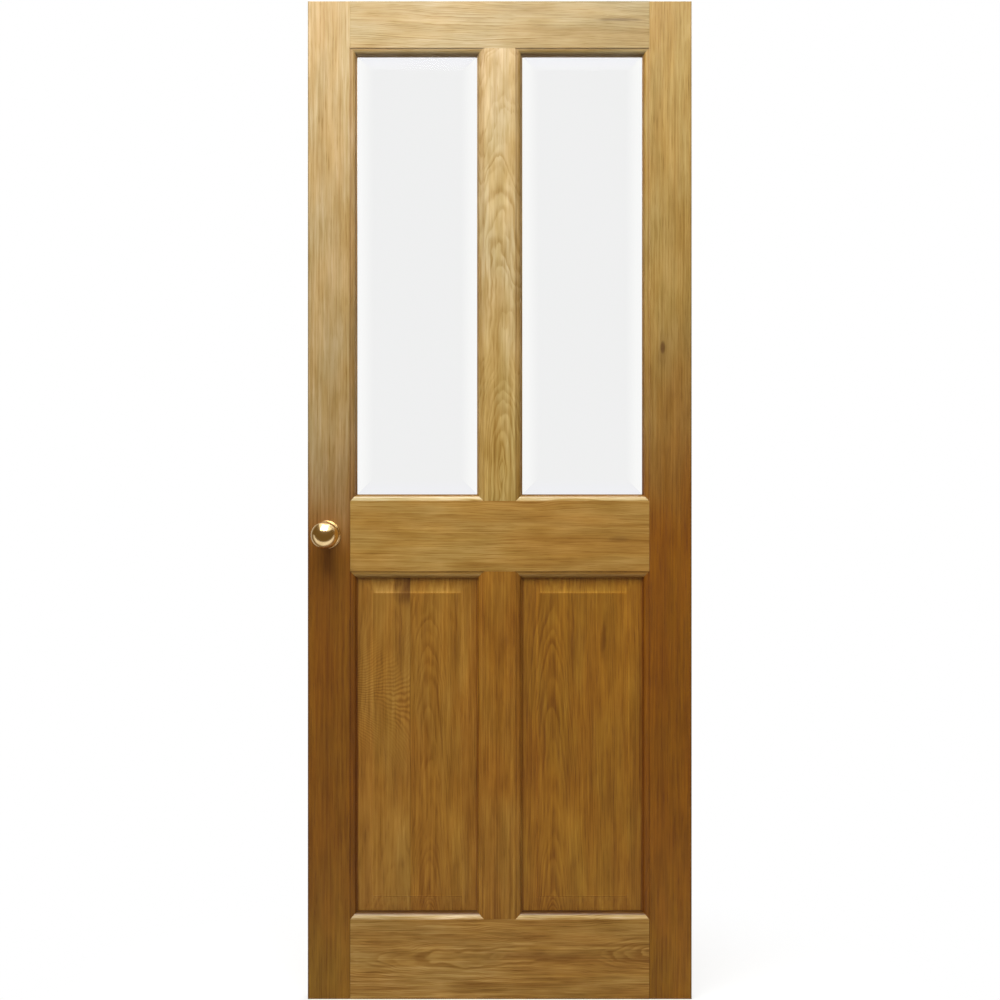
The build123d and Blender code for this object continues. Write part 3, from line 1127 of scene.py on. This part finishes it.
beadTree = makeBeadTree()
glassBack = beadLow.y
for side, (x0, x1) in openings.items():
    # Where each bead starts, the way it runs and the way in from its outer side
    runs = {
        "left": ((x0, glassFoot), (0, 1), (1, 0), glassHead - glassFoot, "upright"),
        "right": ((x1, glassFoot), (0, 1), (-1, 0), glassHead - glassFoot, "upright"),
        "bottom": ((x0, glassFoot), (1, 0), (0, 1), x1 - x0, "level"),
        "top": ((x0, glassHead), (1, 0), (0, -1), x1 - x0, "level"),
    }
    for edge, (start, way, inward, length, grain) in runs.items():
        bead = growPiece(
            layOut(f"{side}GlassBead_{edge}", [(0, 0, 0)]),
            beadTree,
            {
                "Length": length,
                "Width": mouldingWidth,
                "Depth": backFace - glassBack,
                "Sunk": glassBeads["sunk"],
                "Fillet": glassBeads["fillet"],
                "Round": glassBeads["round"],
                "Finish": beadOak[grain],
            },
        )
        columns = ((inward[0], 0, inward[1]), (0, 1, 0), (way[0], 0, way[1]))
        place = Matrix(columns).transposed().to_4x4()
        place.translation = (start[0], glassBack, start[1])
        bead.data.transform(place)
        if place.determinant() < 0:
            bead.data.flip_normals()
        dressPiece(bead, "door_leaf", None, [f"{side}_glass_bead_{edge}"])
print("door: glass beads mitred")


# Glass: clear, a little grey, with the side bevels given a paler colour, a painted highlight for the light
# they catch

def makeGlassFinish():
    glass = {
        "middle": (0.870, 0.873, 0.872, 1),
        # The bevels' paler colours are a painted highlight
        "levelBevel": (0.870, 0.873, 0.895, 1),
        "uprightBevel": (0.94, 0.943, 0.935, 1),
        "bevel": 0.046,
        "softness": 0.03,
        "streakScale": (5, 5, 2),
        "streaks": 0.012,
    }
    material, tree, shader, place = newMaterial(
        "bevelledGlass", IOR=1.45, Transmission_Weight=1.0, Roughness=0.0, Specular_Tint=(0.1, 0.1, 0.1, 1)
    )
    low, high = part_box("left_glass")
    across, _, up = axesOf(tree, place)
    folded = calc(tree, "ABSOLUTE", minus(tree, across, doorMiddle))
    sideways = minus(tree, folded, doorMiddle - (low.x + high.x) / 2)
    sideways = minus(tree, (high.x - low.x) / 2, calc(tree, "ABSOLUTE", sideways))
    upward = calc(tree, "ABSOLUTE", minus(tree, up, (low.z + high.z) / 2))
    upward = minus(tree, (high.z - low.z) / 2, upward)
    onSide = calc(tree, "LESS_THAN", sideways, upward)
    nearest = calc(tree, "MINIMUM", sideways, upward)
    bevelled = ease(tree, nearest, glass["bevel"] - glass["softness"], glass["bevel"], 1.0, 0.0)
    tint = mixColours(tree, onSide, glass["levelBevel"], glass["uprightBevel"])
    tint = mixColours(tree, bevelled, glass["middle"], tint)
    streaks = grainNoise(tree, place, glass["streakScale"], 1.0)
    streaks = timesPlus(tree, streaks, glass["streaks"], 1.0)
    tree.links.new(scaleColour(tree, tint, streaks), shader.inputs["Base Color"])
    return material


bevelledGlass = makeGlassFinish()
for node in ("left_glass", "right_glass"):
    coat(nodes[node], bevelledGlass)
print("door: glass in")


# Metal

def metalFinish(name, metal):
    material, tree, shader, place = newMaterial(name, Metallic=1.0)
    tarnish = ease(tree, grainNoise(tree, place, metal["tarnishScale"], 4.0), *metal["tarnishEdge"])
    tree.links.new(mixColours(tree, tarnish, metal["bright"], metal["dull"]), shader.inputs["Base Color"])
    hairlines = grainNoise(tree, place, metal["hairlineScale"], 3.0)
    rough = timesPlus(tree, tarnish, metal["tarnishRoughness"], metal["roughness"])
    rough = timesPlus(tree, hairlines, metal["hairlineRoughness"], rough)
    tree.links.new(rough, shader.inputs["Roughness"])
    bumpInto(tree, shader, hairlines, metal["scratch"], metal["scratchStrength"])
    return material


plainMetal = {"tarnishScale": (55, 55, 55), "tarnishEdge": (-0.12, 0.3), "scratchStrength": 0.3}

brass = {
    **plainMetal,
    "bright": (0.87, 0.64, 0.34, 1),
    "dull": (0.76, 0.53, 0.25, 1),
    "roughness": 0.19,
    "tarnishRoughness": 0.07,
    "hairlineRoughness": 0.05,
    "hairlineScale": (900, 900, 900),
    "scratch": 0.00001,
}
polishedBrass = metalFinish("polishedBrass", brass)

steel = {
    **plainMetal,
    "bright": (0.60, 0.60, 0.58, 1),
    "dull": (0.50, 0.50, 0.47, 1),
    "roughness": 0.32,
    "tarnishRoughness": 0.12,
    "hairlineRoughness": 0.2,
    "hairlineScale": (300, 300, 4000),
    "scratch": 0.00003,
}
zincSteel = metalFinish("zincSteel", steel)
for node in ("spindle", "latch_case"):
    coat(nodes[node], zincSteel)


turning = {"segments": 128, "onAxis": 0.00001, "smoothUnder": radians(28)}


# Turns a profile of radius and distance from the face about the knobs' axis.
# A profile that starts on the axis is closed there; any other is a closed ring.
def turnProfile(name, profile, outward):
    shape = bmesh.new()
    face = frontFace if outward < 0 else backFace
    segments = turning["segments"]
    rings = []
    for radius, distance in profile:
        count = segments if radius > turning["onAxis"] else 1
        rings.append([
            shape.verts.new((
                knobMiddle.x + radius * cos(2 * pi * step / segments),
                face + outward * distance,
                knobMiddle.z + radius * sin(2 * pi * step / segments),
            ))
            for step in range(count)
        ])
    pairs = list(zip(rings, rings[1:]))
    if len(rings[0]) > 1:
        pairs.append((rings[-1], rings[0]))
    for inner, outer in pairs:
        for step in range(segments):
            following = (step + 1) % segments
            corners = [inner[step % len(inner)], inner[following % len(inner)]]
            corners += [outer[following % len(outer)], outer[step % len(outer)]]
            shape.faces.new(list(dict.fromkeys(corners)))
    bmesh.ops.recalc_face_normals(shape, faces=shape.faces)
    for face in shape.faces:
        face.smooth = True
    for edge in shape.edges:
        edge.smooth = edge.calc_face_angle() < turning["smoothUnder"]
    return meshFrom(shape, name)


def arcPoints(middle, radius, start, end, steps):
    angles = [start + (end - start) * step / steps for step in range(steps + 1)]
    return [(middle[0] + radius * cos(angle), middle[1] + radius * sin(angle)) for angle in angles]


# A ball knob: the ball runs into its neck by a small hollow, above a collar that turns in the rose
knobTurning = {
    "ballRadius": (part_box("front_knob")[1].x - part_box("front_knob")[0].x) / 2,
    "reach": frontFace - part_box("front_knob")[0].y,
    "neckRadius": 0.0085,
    "neckHollow": 0.003,
    "collarRadius": 0.0105,
    "collarTop": 0.011,
    "collarGap": 0.001,
    "arris": 0.0004,
    "ballSteps": 72,
    "hollowSteps": 8,
}


def knobProfile(knob):
    ball, neck, hollow = knob["ballRadius"], knob["neckRadius"], knob["neckHollow"]
    ballMiddle = knob["reach"] - ball
    hollowRadius = neck + hollow
    meeting = acos(hollowRadius / (ball + hollow))
    hollowMiddle = ballMiddle - (ball + hollow) * sin(meeting)
    points = arcPoints((0, ballMiddle), ball, pi / 2, -meeting, knob["ballSteps"])
    points += arcPoints((hollowRadius, hollowMiddle), hollow, pi - meeting, pi, knob["hollowSteps"])[1:]
    arris = knob["arris"]
    points += [
        (neck, knob["collarTop"]),
        (knob["collarRadius"] - arris, knob["collarTop"]),
        (knob["collarRadius"], knob["collarTop"] - arris),
        (knob["collarRadius"], knob["collarGap"]),
        (0, knob["collarGap"]),
    ]
    points[0] = (0, knob["reach"])
    return points


# A round rose with a stepped rim and a domed crown
roseTurning = {
    "radius": (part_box("front_rose")[1].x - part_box("front_rose")[0].x) / 2,
    "height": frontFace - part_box("front_rose")[0].y,
    "rim": 0.0025,
    "step": 0.0015,
    "crownRadius": 0.015,
    "bore": 0.0109,
    "arris": 0.0004,
    "domeSteps": 20,
}


def roseProfile(rose):
    shoulder = rose["radius"] - rose["step"]
    spread = shoulder - rose["crownRadius"]
    drop = rose["height"] - rose["rim"]
    domeRadius = (spread * spread + drop * drop) / (2 * drop)
    domeMiddle = (rose["crownRadius"], rose["height"] - domeRadius)
    arris = rose["arris"]
    bore, radius, rim = rose["bore"], rose["radius"], rose["rim"]
    domeEnd = pi / 2 - asin(spread / domeRadius)
    points = [(bore, 0), (bore, rose["height"] - arris), (bore + arris, rose["height"])]
    points += arcPoints(domeMiddle, domeRadius, pi / 2, domeEnd, rose["domeSteps"])
    points += [(radius - arris, rim), (radius, rim - arris), (radius, 0)]
    return points


for side, outward in (("front", -1), ("back", 1)):
    knobMesh = turnProfile(side + "Knob", knobProfile(knobTurning), outward)
    addPiece(side + "Knob", knobMesh, "knobs", polishedBrass, [side + "_knob"])
    roseMesh = turnProfile(side + "Rose", roseProfile(roseTurning), outward)
    addPiece(side + "Rose", roseMesh, "door_leaf", polishedBrass, [side + "_rose"])

# The forend is countersunk for its screws, which finish just under its face
latch = {"forendEasing": 0.0002, "boltEasing": 0.0004}
forendScrews = {
    "fromMiddle": 0.0215,
    "headRadius": 0.003,
    "headDepth": 0.001,
    "slotWidth": 0.0007,
    "slotDepth": 0.0005,
    "sink": 0.0001,
    "sinkRadius": 0.0034,
    "sinkFoot": 0.0027,
    "sinkDepth": 0.0014,
    "sinkMiddle": 0.0005,
}
forend = easedCopy("latch_forend", latch["forendEasing"])
screwSpots = []
for way in (-1, 1):
    spot = (leafLow.x + forendScrews["sink"], 0, knobMiddle.z + way * forendScrews["fromMiddle"])
    screwSpots.append(spot)
    middle = Matrix.Translation((leafLow.x + forendScrews["sinkMiddle"], 0, spot[2]))
    shape = bmesh.new()
    bmesh.ops.create_cone(
        shape,
        cap_ends=True,
        segments=40,
        radius1=forendScrews["sinkRadius"],
        radius2=forendScrews["sinkFoot"],
        depth=forendScrews["sinkDepth"],
        matrix=middle @ Matrix.Rotation(pi / 2, 4, "Y"),
    )
    cutter = newObject("countersink", meshFrom(shape, "countersink"))
    cut = forend.modifiers.new("countersink", "BOOLEAN")
    cut.operation = "DIFFERENCE"
    cut.solver = "EXACT"
    cut.object = cutter
    settle(forend)
    bpy.data.objects.remove(cutter)
dressPiece(forend, "door_leaf", polishedBrass, ["latch_forend"])
bolt = easedCopy("latch_bolt", latch["boltEasing"])
dressPiece(bolt, "door_leaf", polishedBrass, ["latch_bolt"])

screwTree = makeScrewTree()
screws = growPiece(
    layOut("forendScrews", screwSpots),
    screwTree,
    {
        "Head Radius": forendScrews["headRadius"],
        "Head Depth": forendScrews["headDepth"],
        "Slot Width": forendScrews["slotWidth"],
        "Slot Depth": forendScrews["slotDepth"],
        "Facing": (-1.0, 0.0, 0.0),
        "Finish": polishedBrass,
    },
)
dressPiece(screws, "door_leaf", None)

# A grub screw under each neck holds the knob to the spindle
grubScrews = {
    "fromFace": 0.01245,
    "radius": 0.00115,
    "depth": 0.0008,
    "rise": 0.0001,
    "slotWidth": 0.0004,
    "slotDepth": 0.0003,
}
neckFoot = knobMiddle.z - knobTurning["neckRadius"] - grubScrews["rise"]
grubs = growPiece(
    layOut(
        "knobGrubScrews",
        [
            (knobMiddle.x, frontFace - grubScrews["fromFace"], neckFoot),
            (knobMiddle.x, backFace + grubScrews["fromFace"], neckFoot),
        ],
    ),
    screwTree,
    {
        "Head Radius": grubScrews["radius"],
        "Head Depth": grubScrews["depth"],
        "Slot Width": grubScrews["slotWidth"],
        "Slot Depth": grubScrews["slotDepth"],
        "Facing": (0.0, 0.0, -1.0),
        "Finish": zincSteel,
    },
)
dressPiece(grubs, "knobs", None)

# Panel pins hold the glass beads, along the middle of their rounds
beadPins = {"spacing": 0.15, "margin": 0.04, "headRadius": 0.0008, "headRise": 0.00015}
pinInset = glassBeads["fillet"] + glassBeads["round"] * cos(pi / 4)
pinFace = backFace - glassBeads["sunk"] - glassBeads["round"] * (1 - sin(pi / 4))
pinPoints = []
for x0, x1 in openings.values():
    x0, x1 = x0 + pinInset, x1 - pinInset
    z0, z1 = glassFoot + pinInset, glassHead - pinInset
    corners = [(x0, z0), (x0, z1), (x1, z1), (x1, z0)]
    for start, end in zip(corners, corners[1:] + corners[:1]):
        start, end = Vector(start), Vector(end)
        trim = (end - start).normalized() * beadPins["margin"]
        pinPoints += [(point.x, pinFace, point.y) for point in (start + trim, end - trim)]
pinLines = [(number, number + 1) for number in range(0, len(pinPoints), 2)]
pins = growPiece(
    layOut("glassBeadPins", pinPoints, pinLines),
    makePinTree(),
    {
        "Spacing": beadPins["spacing"],
        "Head Radius": beadPins["headRadius"],
        "Head Rise": beadPins["headRise"],
        "Finish": zincSteel,
    },
)
dressPiece(pins, "door_leaf", None)
print("door: knobs, latch, screws and pins done")


# Camera, square on to the leaf's middle

camera = {"distance": 3.1, "widthOfView": 1.985, "sensor": 36.0, "nudge": (0.0005, 0.0003)}
cameraData = bpy.data.cameras.new("camera")
cameraData.sensor_width = camera["sensor"]
cameraData.lens = camera["sensor"] * camera["distance"] / camera["widthOfView"]
cameraObject = newObject("camera", cameraData)
cameraObject.location = (
    doorMiddle + camera["nudge"][0],
    frontFace - camera["distance"],
    leafHigh.z / 2 + camera["nudge"][1],
)
cameraObject.rotation_euler = (radians(90), 0, 0)
bpy.context.scene.camera = cameraObject


# Lights: a large soft light high before the door, one straight over the leaf, a weak one at the left
# and one behind, for the back face. Neither of the last two shows through the glass.

def addSoftLight(name, light, inGlass=True, inVarnish=True):
    data = bpy.data.lights.new(name, "AREA")
    data.shape = "RECTANGLE"
    data.size = light["width"]
    data.size_y = light["height"]
    data.energy = light["power"]
    data.color = light["colour"]
    lamp = newObject(name, data)
    lamp.location = light["place"]
    aim = Vector(light["aim"]) - Vector(light["place"])
    lamp.rotation_euler = aim.to_track_quat("-Z", "Y").to_euler()
    lamp.visible_transmission = inGlass
    lamp.visible_glossy = inVarnish


frontLight = {
    "width": 2.0,
    "height": 1.3,
    "power": 76,
    "colour": (1.0, 0.99, 0.97),
    "place": (doorMiddle - 0.32, -1.35, 3.0),
    "aim": (doorMiddle, 0.0, 1.2),
}
overheadLight = {
    "width": 1.6,
    "height": 1.6,
    "power": 26,
    "colour": (1.0, 0.99, 0.97),
    "place": (doorMiddle - 0.12, 0.1, 3.1),
    "aim": (doorMiddle - 0.12, 0.101, 0.0),
}
sideLight = {
    "width": 1.2,
    "height": 1.8,
    "power": 6,
    "colour": (1.0, 0.98, 0.95),
    "place": (doorMiddle - 2.2, -2.4, 1.4),
    "aim": (doorMiddle, 0.0, 1.0),
}
backLight = {
    "width": 1.6,
    "height": 1.6,
    "power": 60,
    "colour": (1.0, 0.99, 0.97),
    "place": (doorMiddle + 0.5, 2.1, 2.7),
    "aim": (doorMiddle, 0.0, 1.0),
}
addSoftLight("frontLight", frontLight)
addSoftLight("overheadLight", overheadLight)
addSoftLight("sideLight", sideLight, inGlass=False, inVarnish=False)
addSoftLight("backLight", backLight, inGlass=False)


# The room: white to the eye and through the glass. Reflections see a pale wall behind the door and a dim
# brown one before it, with a bright ceiling over both and a strip of pale floor.
def makeRoom():
    room = {
        "ambient": (0.28, 0.28, 0.28, 1),
        "camera": (1, 1, 1, 1),
        "wallInFront": (0.165, 0.106, 0.034, 1),
        "wallBehind": (0.6, 0.56, 0.48, 1),
        "ceiling": (1.38, 1.44, 1.35, 1),
        "floor": (1.0, 1.0, 1.0, 1),
        "wallEdge": (0.4, 0.85),
        "ceilingSlope": 1.04,
        "ceilingEdge": 0.05,
        "ceilingLeft": 0.6,
        "ceilingRight": 1.15,
        "sideEdge": 0.06,
        "floorSlope": 1.65,
        "floorEdge": 0.06,
        "floorEnd": (0.05, 0.3),
    }
    world = bpy.data.worlds.new("room")
    world.use_nodes = True
    tree = world.node_tree
    rays = tree.nodes.new("ShaderNodeLightPath").outputs
    direction = tree.nodes.new("ShaderNodeTexCoord").outputs["Generated"]
    across, depth, up = axesOf(tree, direction)
    behind = ease(tree, depth, *room["wallEdge"])
    reflected = mixColours(tree, behind, room["wallInFront"], room["wallBehind"])
    before = calc(tree, "MINIMUM", depth, 0.0)
    low = minus(tree, times(tree, before, room["floorSlope"]), up)
    low = ease(tree, low, -room["floorEdge"], room["floorEdge"])
    low = times(tree, low, ease(tree, depth, *room["floorEnd"], 1.0, 0.0))
    reflected = mixColours(tree, low, reflected, room["floor"])
    ceiling = timesPlus(tree, depth, room["ceilingSlope"], up)
    ceiling = ease(tree, ceiling, -room["ceilingEdge"], room["ceilingEdge"])
    for way, slope in (("ADD", room["ceilingLeft"]), ("SUBTRACT", room["ceilingRight"])):
        margin = calc(tree, way, times(tree, up, slope), across)
        ceiling = times(tree, ceiling, ease(tree, margin, -room["sideEdge"], room["sideEdge"]))
    reflected = mixColours(tree, ceiling, reflected, room["ceiling"])
    seen = calc(tree, "MAXIMUM", rays["Is Camera Ray"], rays["Is Transmission Ray"])
    colour = mixColours(tree, rays["Is Glossy Ray"], room["ambient"], reflected)
    colour = mixColours(tree, seen, colour, room["camera"])
    background = tree.nodes["Background"]
    tree.links.new(colour, background.inputs["Color"])
    background.inputs["Strength"].default_value = 1.0
    bpy.context.scene.world = world


makeRoom()


# A round pale floor. It fades to plain white at its edge, so that no horizon shows.
def makeFloor():
    floor = {
        "radius": 0.95,
        "fade": 0.45,
        "drop": 0.0005,
        "shadowDepth": 0.3,
        "colour": (0.82, 0.82, 0.81, 1),
        "segments": 96,
    }
    shape = bmesh.new()
    place = Matrix.Translation((doorMiddle, 0.0, leafLow.z - floor["drop"]))
    bmesh.ops.create_circle(
        shape, cap_ends=True, segments=floor["segments"], radius=floor["radius"], matrix=place
    )
    material = bpy.data.materials.new("paleFloor")
    material.use_nodes = True
    tree = material.node_tree
    tree.nodes.clear()
    spot = tree.nodes.new("ShaderNodeTexCoord").outputs["Object"]
    fromDoor = vectorCalc(tree, "SUBTRACT", spot, (doorMiddle, 0.0, 0.0))
    reach = addNode(tree, "ShaderNodeVectorMath", {0: fromDoor}, operation="LENGTH").outputs["Value"]
    shadow = ease(tree, reach, floor["fade"], floor["radius"], floor["shadowDepth"], 0.0)
    matt = addNode(tree, "ShaderNodeBsdfDiffuse", {"Color": floor["colour"]}).outputs[0]
    glow = addNode(tree, "ShaderNodeEmission", {"Color": white, "Strength": 1.0}).outputs[0]
    seen = addNode(tree, "ShaderNodeMixShader", {0: shadow, 1: glow, 2: matt}).outputs[0]
    rays = tree.nodes.new("ShaderNodeLightPath").outputs
    direct = calc(tree, "MAXIMUM", rays["Is Camera Ray"], rays["Is Transmission Ray"])
    direct = calc(tree, "MAXIMUM", direct, rays["Is Glossy Ray"])
    surface = addNode(tree, "ShaderNodeMixShader", {0: direct, 1: matt, 2: seen}).outputs[0]
    output = tree.nodes.new("ShaderNodeOutputMaterial")
    tree.links.new(surface, output.inputs["Surface"])
    disc = newObject("floor", meshFrom(shape, "floor"))
    coat(disc, material)
    disc.visible_glossy = False


makeFloor()
bpy.context.scene.view_settings.view_transform = "Standard"
print("door: camera, lights and floor set")
